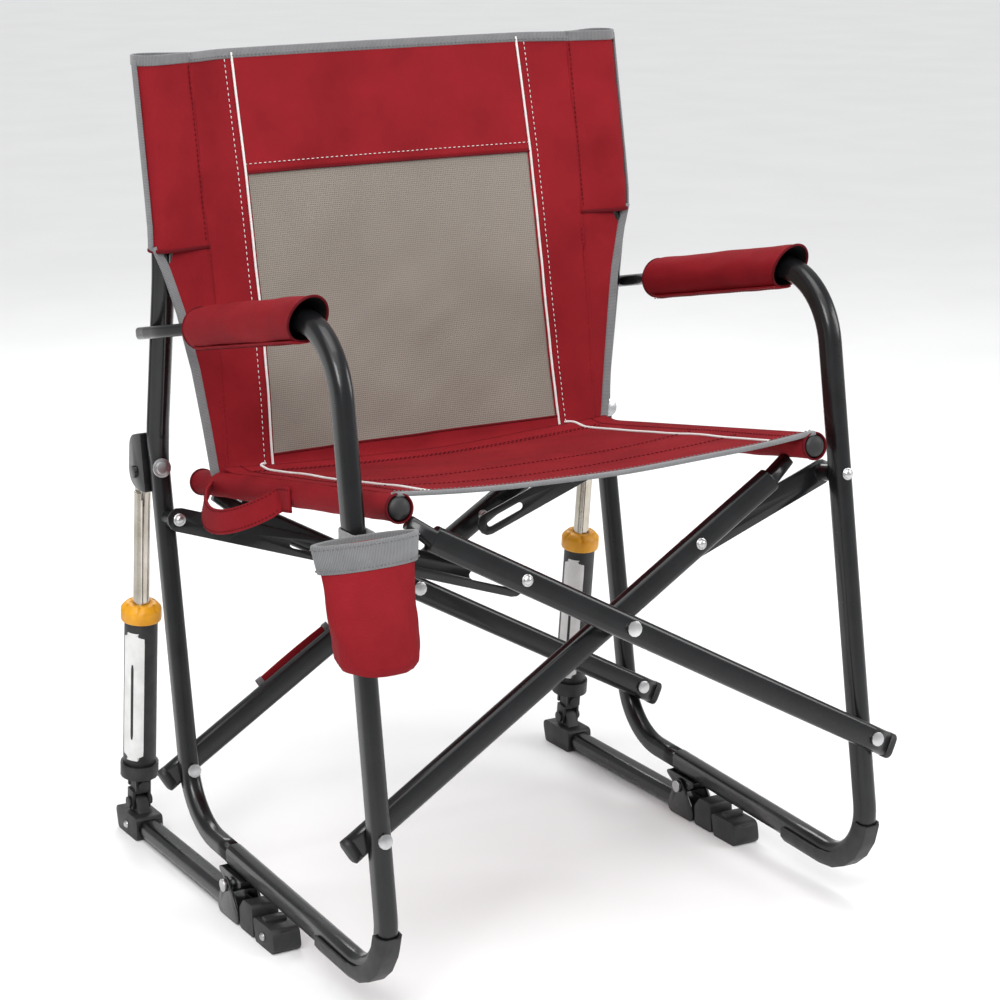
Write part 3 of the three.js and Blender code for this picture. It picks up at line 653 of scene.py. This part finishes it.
def back_side(name, side):
    """The sleeve round an upright, and the wing below it."""
    rows = []
    for z in steps(NOTCH - 6, BACK_TOP, 44):
        x, y = upright_at(z, side)
        radius = UPRIGHT_RADIUS + 2 + wrinkle(x, 3, z, 34, 0.9)
        seam = back_y(SLEEVE_X, z)
        ring = []
        for t in steps(0, 1, 12)[:-1]:
            near = along([(0, seam - 1.6), (1, y - radius)], smooth(t))
            out = side * (SLEEVE_X + t * (abs(x) - SLEEVE_X))
            ring.append(chair(out, near + wrinkle(x, t * 20, z, 30, 1.1), z))
        for angle in steps(-90, 90, 14):
            a = math.radians(angle)
            ring.append(chair(x + side * radius * math.cos(a), y + radius * math.sin(a), z))
        for t in steps(1, 0, 12)[1:]:
            far = along([(0, seam + 1.6), (1, y + radius)], smooth(t))
            out = side * (SLEEVE_X + t * (abs(x) - SLEEVE_X))
            ring.append(chair(out, far + wrinkle(x, t * 20, z, 30, 1.1), z))
        rows.append(ring)
    sleeve = skin(f"{name}_back_sleeve", rows, RED, wrap=True)
    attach(sleeve, f"frame_{name}")
    grid = []
    for z in steps(BACK_LOW, NOTCH, 44):
        edge = along(WING, z)
        grid.append([back_point(side * x, z, 0.7) for x in steps(SLEEVE_X - 2, edge, 10)])
    wing = declared(cloth(f"{name}_back_wing", grid, RED))
    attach(wing, f"frame_{name}")
    low = [back_point(side * along(WING, z), z, 0.7) for z in steps(BACK_LOW, NOTCH, 50)]
    binding = sweep(f"{name}_wing_binding", low, BACK_OUT, rounded(10, 4, 1.8), GREY)
    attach(binding, f"frame_{name}")
    edge = []
    for z in steps(NOTCH - 4, BACK_TOP, 40):
        x, y = upright_at(z, side)
        edge.append(chair(x + side * (UPRIGHT_RADIUS + 2.6), y - 2, z))
    tape = sweep(f"{name}_sleeve_edge_binding", edge, ACROSS * side, rounded(11, 2.6, 1.2), GREY)
    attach(tape, f"frame_{name}")
    for label, z, height, colour in (("notch", NOTCH - 5, 4, SEAM), ("top", BACK_TOP - 1, 11, GREY)):
        x, y = upright_at(z, side)
        radius = UPRIGHT_RADIUS + 3
        seam = back_y(SLEEVE_X, z)
        loop = [chair(side * (SLEEVE_X + t * (abs(x) - SLEEVE_X)),
                      seam - 1.8 + (y - radius - seam + 1.8) * smooth(t), z)
                for t in steps(0, 0.95, 8)]
        loop += [chair(x + side * radius * math.cos(math.radians(a)),
                       y + radius * math.sin(math.radians(a)), z)
                 for a in steps(-90, 90, 16)]
        loop += [chair(side * (SLEEVE_X + t * (abs(x) - SLEEVE_X)),
                       seam + 1.8 + (y + radius - seam - 1.8) * smooth(t), z)
                 for t in steps(0.95, 0, 8)]
        tape = sweep(f"{name}_sleeve_{label}_binding", loop, Vector((0, 0, 1)),
                     rounded(2.4, height, 1.1), colour)
        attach(tape, f"frame_{name}")
    lid_z = BACK_TOP - 1
    x, y = upright_at(lid_z, side)
    lid = turned(f"{name}_upright_plug", [(11.5, -10), (12.3, -9), (12.3, -4), (9, -1), (0.1, 0)],
                 chair(x, y, lid_z), Vector((0, 0, 1)), BLACK)
    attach(lid, f"frame_{name}")
    line = []
    for z in steps(NOTCH + 4, BACK_TOP - 8, 40):
        line.append(chair(side * (SLEEVE_X + 3), back_y(SLEEVE_X, z) - 1.8, z))
    sewn = stitches(f"{name}_sleeve_stitches", line, BACK_OUT, SEAM, dash=3.2, space=2.2, lift=0.8)
    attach(sewn, f"frame_{name}")


# ---------- Seat ----------

SEAT_FRONT, SEAT_REAR = 292, -98
SLEEVE_R = RAIL_RADIUS + 2.2


def seat_h(x, s):
    """Height of the seat cloth in the fold frame: it hangs a little between its rails."""
    across = min(1, abs(x) / RAIL_X)
    sag = 13 * (1 - across ** 2) * (0.75 + 0.25 * smooth((s - SEAT_REAR) / 300))
    rise = 6 * smooth((SEAT_REAR + 30 - s) / 40)
    return RAIL_H + SLEEVE_R - sag + rise + wrinkle(x * 0.5, s, 5, 70, 2.2) * (1 - across ** 6)


def seat_edge(x):
    """The front edge curves back a little between the rails."""
    return SEAT_FRONT + 9 - 17 * (1 - (x / RAIL_X) ** 2)


def seat_point(x, s, lift=0.0):
    return fold(x, s, seat_h(x, s) + lift)


def seat_fold(piece):
    """The seat cloth spans both rails; this bakes a seat piece's transform into its mesh and attaches it to
    no body.
    """
    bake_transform(piece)
    return piece


def seat():
    grid = []
    for t in steps(0, 1, 70):
        grid.append([seat_point(x, SEAT_REAR + (seat_edge(x) - SEAT_REAR) * t)
                     for x in steps(-RAIL_X, RAIL_X, 90)])
    sling = declared(cloth("seat_cloth", grid, RED))
    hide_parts("seat_sling")
    seat_fold(sling)
    for name, side in SIDES:
        body = "scissor_b" if side < 0 else "scissor_a"
        rows = []
        for s in steps(SEAT_REAR - 58, SEAT_FRONT + 12, 68):
            ring = []
            for angle in steps(0, 360, 28)[:-1]:
                a = math.radians(angle)
                radius = SLEEVE_R + wrinkle(20 * math.cos(a), s, 20 * math.sin(a), 26, 0.8)
                ring.append(fold(side * (RAIL_X + radius * math.sin(a)), s, RAIL_H + radius * math.cos(a)))
            rows.append(ring)
        sleeve = skin(f"{name}_seat_sleeve", rows, RED, wrap=True)
        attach(sleeve, body)
        for end, s in (("front", SEAT_FRONT + 12), ("rear", SEAT_REAR - 58)):
            loop = []
            for angle in steps(0, 360, 28):
                a = math.radians(angle)
                loop.append(fold(side * (RAIL_X + (SLEEVE_R + 0.6) * math.sin(a)), s,
                                 RAIL_H + (SLEEVE_R + 0.6) * math.cos(a)))
            tape = sweep(f"{name}_seat_sleeve_{end}_binding", loop, FOLD_AXIS,
                         rounded(1.8, 4, 0.8), SEAM, caps=False)
            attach(tape, body)
        line = [seat_point(side * 196, s, 1.4) for s in steps(SEAT_REAR + 8, SEAT_FRONT - 6, 60)]
        corner = [seat_point(side * (179 + 17 * math.sin(a)), SEAT_REAR + 8 - 14 * math.cos(a), 1.4)
                  for a in steps(0, math.pi / 2, 8)]
        seat_fold(sweep(f"{name}_seat_piping", corner[:-1] + line, FOLD_UP, rounded(2.8, 2.4, 1.1), WHITE))
        line = [seat_point(side * 218, s, 0.6) for s in steps(SEAT_REAR + 2, SEAT_FRONT - 4, 60)]
        seat_fold(stitches(f"{name}_seat_side_stitches", line, FOLD_UP, SEAM, dash=3.4, space=2))
    for row, s in enumerate((SEAT_REAR + 26, SEAT_REAR + 34, 120, 206)):
        line = [seat_point(x, s, 0.6) for x in steps(-212, 212, 70)]
        seat_fold(stitches(f"seat_row_{row}_stitches", line, FOLD_UP, SEAM, dash=3.4, space=2))
    edge = [seat_point(x, seat_edge(x)) for x in steps(-RAIL_X - 2, RAIL_X + 2, 90)]
    seat_fold(sweep("seat_front_binding", edge, FOLD_UP, rounded(11, 4.4, 1.9), GREY))
    edge = [seat_point(x, seat_edge(x) - 3, 2.2) for x in steps(-RAIL_X, RAIL_X, 90)]
    seat_fold(stitches("seat_binding_stitches", edge, FOLD_UP, GREY, dash=2.6, space=2))


def handle():
    path, ups = [], []
    for s in steps(74, 96, 6):
        path.append(fold(-RAIL_X - SLEEVE_R - 1.6, s, RAIL_H - 3))
        ups.append(-ACROSS)
    for t in steps(0, 1, 40)[1:]:
        a = math.pi * t
        out = math.sin(a)
        path.append(fold(-RAIL_X - SLEEVE_R - 1.6 - 34 * out ** 0.7, 74 - 176 * t,
                         RAIL_H - 3 - 24 * out ** 0.7))
        ups.append((-ACROSS + FOLD_UP * 0.2 * out).normalized())
    front = path[:7][::-1]
    path = front + path[7:]
    band = sweep("carry_handle_band", path, ups, rounded(26, 3, 1.3), RED)
    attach(band, "scissor_b")
    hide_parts("carry_handle")
    for label, shift in (("upper", 10.5), ("lower", -10.5)):
        lines = []
        for at, heading, up in zip(path, tangents(path), ups):
            lines.append(at + heading.cross(up).normalized() * shift * MM + up * 1.4 * MM)
        row = stitches(f"carry_handle_{label}_stitches", lines, ups, SEAM, dash=3, space=2)
        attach(row, "scissor_b")


def strap():
    """The carry strap folded behind the left rear scissor tube."""
    rise = Vector((HALF_WIDTH, CROSS_H - PIVOT_H)).normalized()
    path = []
    for t in steps(-198, -92, 30):
        bow = 2.5 * math.sin(math.pi * (t + 198) / 106)
        path.append(fold(rise.x * t, -198.2 - bow, CROSS_H + rise.y * t))
    band = sweep("carry_strap_band", path, -FOLD_AXIS, rounded(33, 2.6, 1.1), RED)
    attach(band, "scissor_a")
    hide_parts("carry_strap")
    for label, part in (("low", path[:3]), ("high", path[-3:])):
        tape = sweep(f"carry_strap_{label}_binding", part, -FOLD_AXIS, rounded(35, 5, 2), GREY)
        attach(tape, "scissor_a")


# ---------- Arm covers ----------


def arm_cover(name, side):
    """A padded sleeve on the arm, with a slanted mouth at the front."""
    rear, front = 95, -154

    def ring_point(y, angle, radius):
        a = math.radians(angle)
        z = arm_z(y)
        x = side * (HALF_WIDTH - lean(z)) + radius * math.cos(a)
        return chair(x, y + 0.19 * radius * math.sin(a), z + radius * 1.02 * math.sin(a))

    def surface(label, material, radius, start, stop, count, rough):
        rows = []
        for t in steps(0, 1, count):
            ring = []
            for angle in steps(0, 360, 48)[:-1]:
                up = math.sin(math.radians(angle))
                y = start(up) + (stop(up) - start(up)) * t
                round_way = angle / 40 if angle < 180 else (360 - angle) / 40
                fat = radius + rough * (noise.noise(Vector((round_way, y / 46, side)))
                                        - 0.6 * smooth((t - 0.92) / 0.08) - 0.6 * smooth((0.06 - t) / 0.06))
                ring.append(ring_point(y, angle, fat))
            rows.append(ring)
        piece = skin(f"{name}_{label}", rows, material, wrap=True)
        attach(piece, f"frame_{name}")
        return piece

    mouth = lambda up: front - 15 * up
    shell = surface("arm_sleeve", RED, 21.2, lambda up: rear - 3 * up, mouth, 60, 1.3)
    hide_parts(f"{name}_arm_cover")
    surface("arm_mouth_lining", LINING, 19.2, lambda up: mouth(up) + 46,
            lambda up: mouth(up) - 0.2, 12, 0.4)
    surface("arm_rear_lining", LINING, 19.2, lambda up: rear - 3 * up, lambda up: rear - 30, 8, 0.4)
    for label, edge in (("mouth", mouth), ("rear", lambda up: rear - 3 * up)):
        loop = [ring_point(edge(math.sin(math.radians(a))), a, 20.2) for a in steps(0, 360, 48)]
        hem = sweep(f"{name}_arm_{label}_hem", loop, Vector((0, 1, -0.2)),
                    rounded(2.6, 2.6, 1.2), SEAM, caps=False)
        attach(hem, f"frame_{name}")
    low = [ring_point(y, -118, 21.9) for y in steps(rear - 6, front + 18, 60)]
    flap_rows = []
    for y in steps(rear - 5, front + 12, 40):
        flap_rows.append([ring_point(y, a, 21.6 + 1.6 * smooth((a + 112) / -14) + wrinkle(a, y, 0, 20, 0.5))
                          for a in steps(-70, -126, 10)])
    flap = cloth(f"{name}_arm_flap", flap_rows, RED, 1.4)
    sewn = stitches(f"{name}_arm_stitches", low, Vector((0, 0, -1)), SEAM, dash=3.2, space=2.2, lift=2.4)
    for piece in (flap, sewn):
        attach(piece, f"frame_{name}")


# ---------- Cup holder ----------


def cup_holder():
    centre_x, centre_y = -291, -311

    def ring(z, radius, rough, soft):
        points = []
        for i in range(72):
            a = 2 * math.pi * i / 72
            out = Vector((math.cos(a), math.sin(a)))
            fat = (radius + rough * wrinkle(60 * out.x, 60 * out.y, z, 34, 1)
                   + soft * wrinkle(60 * out.x, z, 60 * out.y, 15, 1))
            t = (z - 374) / 113
            y = centre_y + 20 * t + out.y * fat * (1 - 0.8 * smooth(1.15 * t))
            points.append(chair(centre_x + out.x * fat, min(y, -272.5 + 17.7 * t), z))
        return points

    outer = []
    for z in [373.5, 374.5, 376.5, *steps(380, 484, 30)]:
        t = (z - 374) / 113
        radius = 38.5 + 12.6 * t - 3.2 * smooth((380 - z) / 7)
        outer.append(ring(z, radius, 3.2 * (1 - 0.7 * t), 1.2 * (1 - t)))
    inner = []
    for z in steps(484, 379, 20):
        t = (z - 374) / 113
        inner.append(ring(z, 36.6 + 12.6 * t, 3.2 * (1 - 0.7 * t), 1.2 * (1 - t)))
    body = skin("cup_body", outer + inner, RED, wrap=True, caps=True)
    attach(body, "frame_left")
    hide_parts("cup_holder")
    rows = []
    for radius, z in ((53.2, 463), (54.2, 463.5), (54.6, 475), (54.8, 488),
                      (53.8, 489.6), (50.4, 489.6), (49.8, 488), (49.6, 464)):
        rows.append(ring(z, radius - 0.12 * (484 - z), 0.9, 0))
    turned_rows = [list(column) for column in zip(*rows)]
    band = skin("cup_rim_tape", turned_rows + turned_rows[:1], GREY)
    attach(band, "frame_left")
    for label, z in (("upper", 486), ("lower", 466)):
        loop = [p.lerp(chair(centre_x, centre_y + 20, z), -0.02)
                for p in ring(z, 54.4 - 0.12 * (484 - z), 0.9, 0)]
        sewn = stitches(f"cup_{label}_stitches", loop + loop[:1], Vector((0, 0, 1)), GREY,
                        dash=2.4, space=1.8, lift=0)
        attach(sewn, "frame_left")
    z = 478
    leg_y = -312.5 + 0.1579 * (z - 46.6)
    corner = [Vector(p) for p in rounded(23, 40, 9)]
    loop = [chair(-HALF_WIDTH + lean(z) + p.x, leg_y - 6 + p.y, z) for p in corner + corner[:1]]
    tie = sweep("cup_leg_strap", loop, Vector((0, 0, 1)), rounded(2, 15, 0.9), GREY, caps=False)
    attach(tie, "frame_left")


# ---------- Small hardware ----------


def hardware():
    for name, side in SIDES:
        body = f"frame_{name}"
        for end, face in (("front", 299.9), ("rear", -181.6)):
            layer = LINK_LAYER[name, end]
            outward = FOLD_AXIS if end == "front" else -FOLD_AXIS
            pivot_x, pivot_h = side * LINK_PIVOT[0], LINK_PIVOT[1]
            head = fold(pivot_x, face, pivot_h) + outward * 0.6 * MM
            rivet(f"{name}_{end}_link_bolt", head, outward, body, 5, 6.4)
            near = layer - 1.6 if end == "front" else layer + 1.6
            rivet(f"{name}_{end}_link_nut", fold(pivot_x, near, pivot_h), -outward, body, 4.6, 7)
        rivet(f"{name}_front_link_rivet", fold(side * 232, LINK_LAYER[name, "front"] - 1.6, 409),
              -FOLD_AXIS, f"link_front_{name}", 3.4, 4.2)
        rivet(f"{name}_clamp_screw", chair(side * 301.4, 300, 12), ACROSS * side, f"stand_{name}", 3.6, 4.4)
        rivet(f"{name}_cap_screw", chair(side * 300.8, -62, 12), ACROSS * side, f"stand_{name}", 3.6, 4.4)
    for tube, layer in LAYER.items():
        toward, body = (1, "scissor_a") if tube[0] == "a" else (-1, "scissor_b")
        for label, outward in (("outer", FOLD_AXIS), ("inner", -FOLD_AXIS)):
            shift = 7.6 if label == "outer" else -7.6
            rivet(f"{tube}_{label}_slide_pin", fold(toward * 114, layer + shift, 373.7),
                  outward, body, 4.6, 6.2)


# ---------- CAD nodes that keep their shape ----------

MATERIALS = (("foot_boot", BLACK), ("rail_end_cap", BLACK), ("bumper_sleeve", BLACK), ("rear_clamp", BLACK),
             ("swivel_yoke", BLACK), ("cylinder_foot", BLACK), ("piston_rod", ROD), ("spring", ZINC),
             ("bolt", ZINC))


def dress(node, piece):
    """Gives a CAD node its material, and rounds its edges without changing its mesh."""
    material = next((m for ending, m in MATERIALS if node.endswith(ending)), STEEL)
    mesh = piece.data
    mesh.materials.clear()
    mesh.materials.append(material)
    if "custom_normal" in mesh.attributes:
        mesh.attributes.remove(mesh.attributes["custom_normal"])
    mesh.shade_smooth()
    weld = piece.modifiers.new("weld", "WELD")
    weld.merge_threshold = 0.00002
    bevel = piece.modifiers.new("bevel", "BEVEL")
    bevel.width = 0.0006
    bevel.segments = 2
    bevel.angle_limit = math.radians(38)
    split = piece.modifiers.new("edges", "EDGE_SPLIT")
    split.split_angle = math.radians(42)


# ---------- Camera, light and floor ----------


def studio():
    place = chair(-1362.3, -2400.6, 1147.6)
    target = chair(0, -31, 426.8)
    camera = bpy.data.objects.new("camera", bpy.data.cameras.new("camera"))
    bpy.context.scene.collection.objects.link(camera)
    aim = (target - place).to_track_quat("-Z", "Y").to_matrix().to_4x4()
    camera.matrix_world = Matrix.Translation(place) @ aim @ Matrix.Rotation(math.radians(-0.29), 4, "Z")
    camera.data.lens = 97.06
    camera.data.sensor_width = 36
    bpy.context.scene.camera = camera
    for name, at, size, power in (("key", (-1.6, -1.9, 2.3), 1.2, 44), ("fill", (2.2, -1.4, 1.5), 1.1, 22),
                                  ("rim", (0.7, 2.2, 2.2), 1.1, 26), ("top", (0, -0.2, 2.8), 1.6, 20)):
        light = bpy.data.lights.new(name, "AREA")
        light.size = size
        light.energy = power
        lamp = bpy.data.objects.new(name, light)
        bpy.context.scene.collection.objects.link(lamp)
        lamp.location = at
        lamp.rotation_euler = (Vector((0, 0, 0.4)) - Vector(at)).to_track_quat("-Z", "Y").to_euler()
    sky = bpy.data.lights.new("overhead", "SUN")
    sky.energy = 1.5
    sky.angle = math.radians(70)
    lamp = bpy.data.objects.new("overhead", sky)
    bpy.context.scene.collection.objects.link(lamp)
    lamp.rotation_euler = (math.radians(24), math.radians(-16), 0)
    world = bpy.data.worlds.new("studio")
    world.use_nodes = True
    world.node_tree.nodes["Background"].inputs["Color"].default_value = (0.93, 0.94, 0.95, 1)
    world.node_tree.nodes["Background"].inputs["Strength"].default_value = 0.5
    bpy.context.scene.world = world
    bpy.context.scene.view_settings.view_transform = "Standard"
    paint = Shader("floor_paint", roughness=0.7)
    paint.colour(paint.ramp(paint.noise(3, 3), (0.86, 0.86, 0.86), (0.89, 0.89, 0.89)))
    far = 70  # metres, so that no edge of the floor shows
    rows = [[Vector((x, y, 0)) for x in steps(-far, far, 16)] for y in steps(-far, far, 16)]
    skin("floor", rows, paint.material)


studio()
for side_name, side_sign in SIDES:
    side_tubes(side_name, side_sign)
    ground_rail(side_name, side_sign)
    piston(side_name, side_sign)
    arm_cover(side_name, side_sign)
    seat_rail(side_name, side_sign, "scissor_b" if side_sign < 0 else "scissor_a")
for tube_name, tube_layer in LAYER.items():
    tube_pair = tube_name[0]
    scissor_tube(f"scissor_{tube_name}", tube_layer, 1 if tube_pair == "a" else -1, f"scissor_{tube_pair}")
backrest()
seat()
handle()
strap()
cup_holder()
hardware()
for node_name, node_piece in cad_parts.items():
    if not node_piece.hide_render:
        dress(node_name, node_piece)
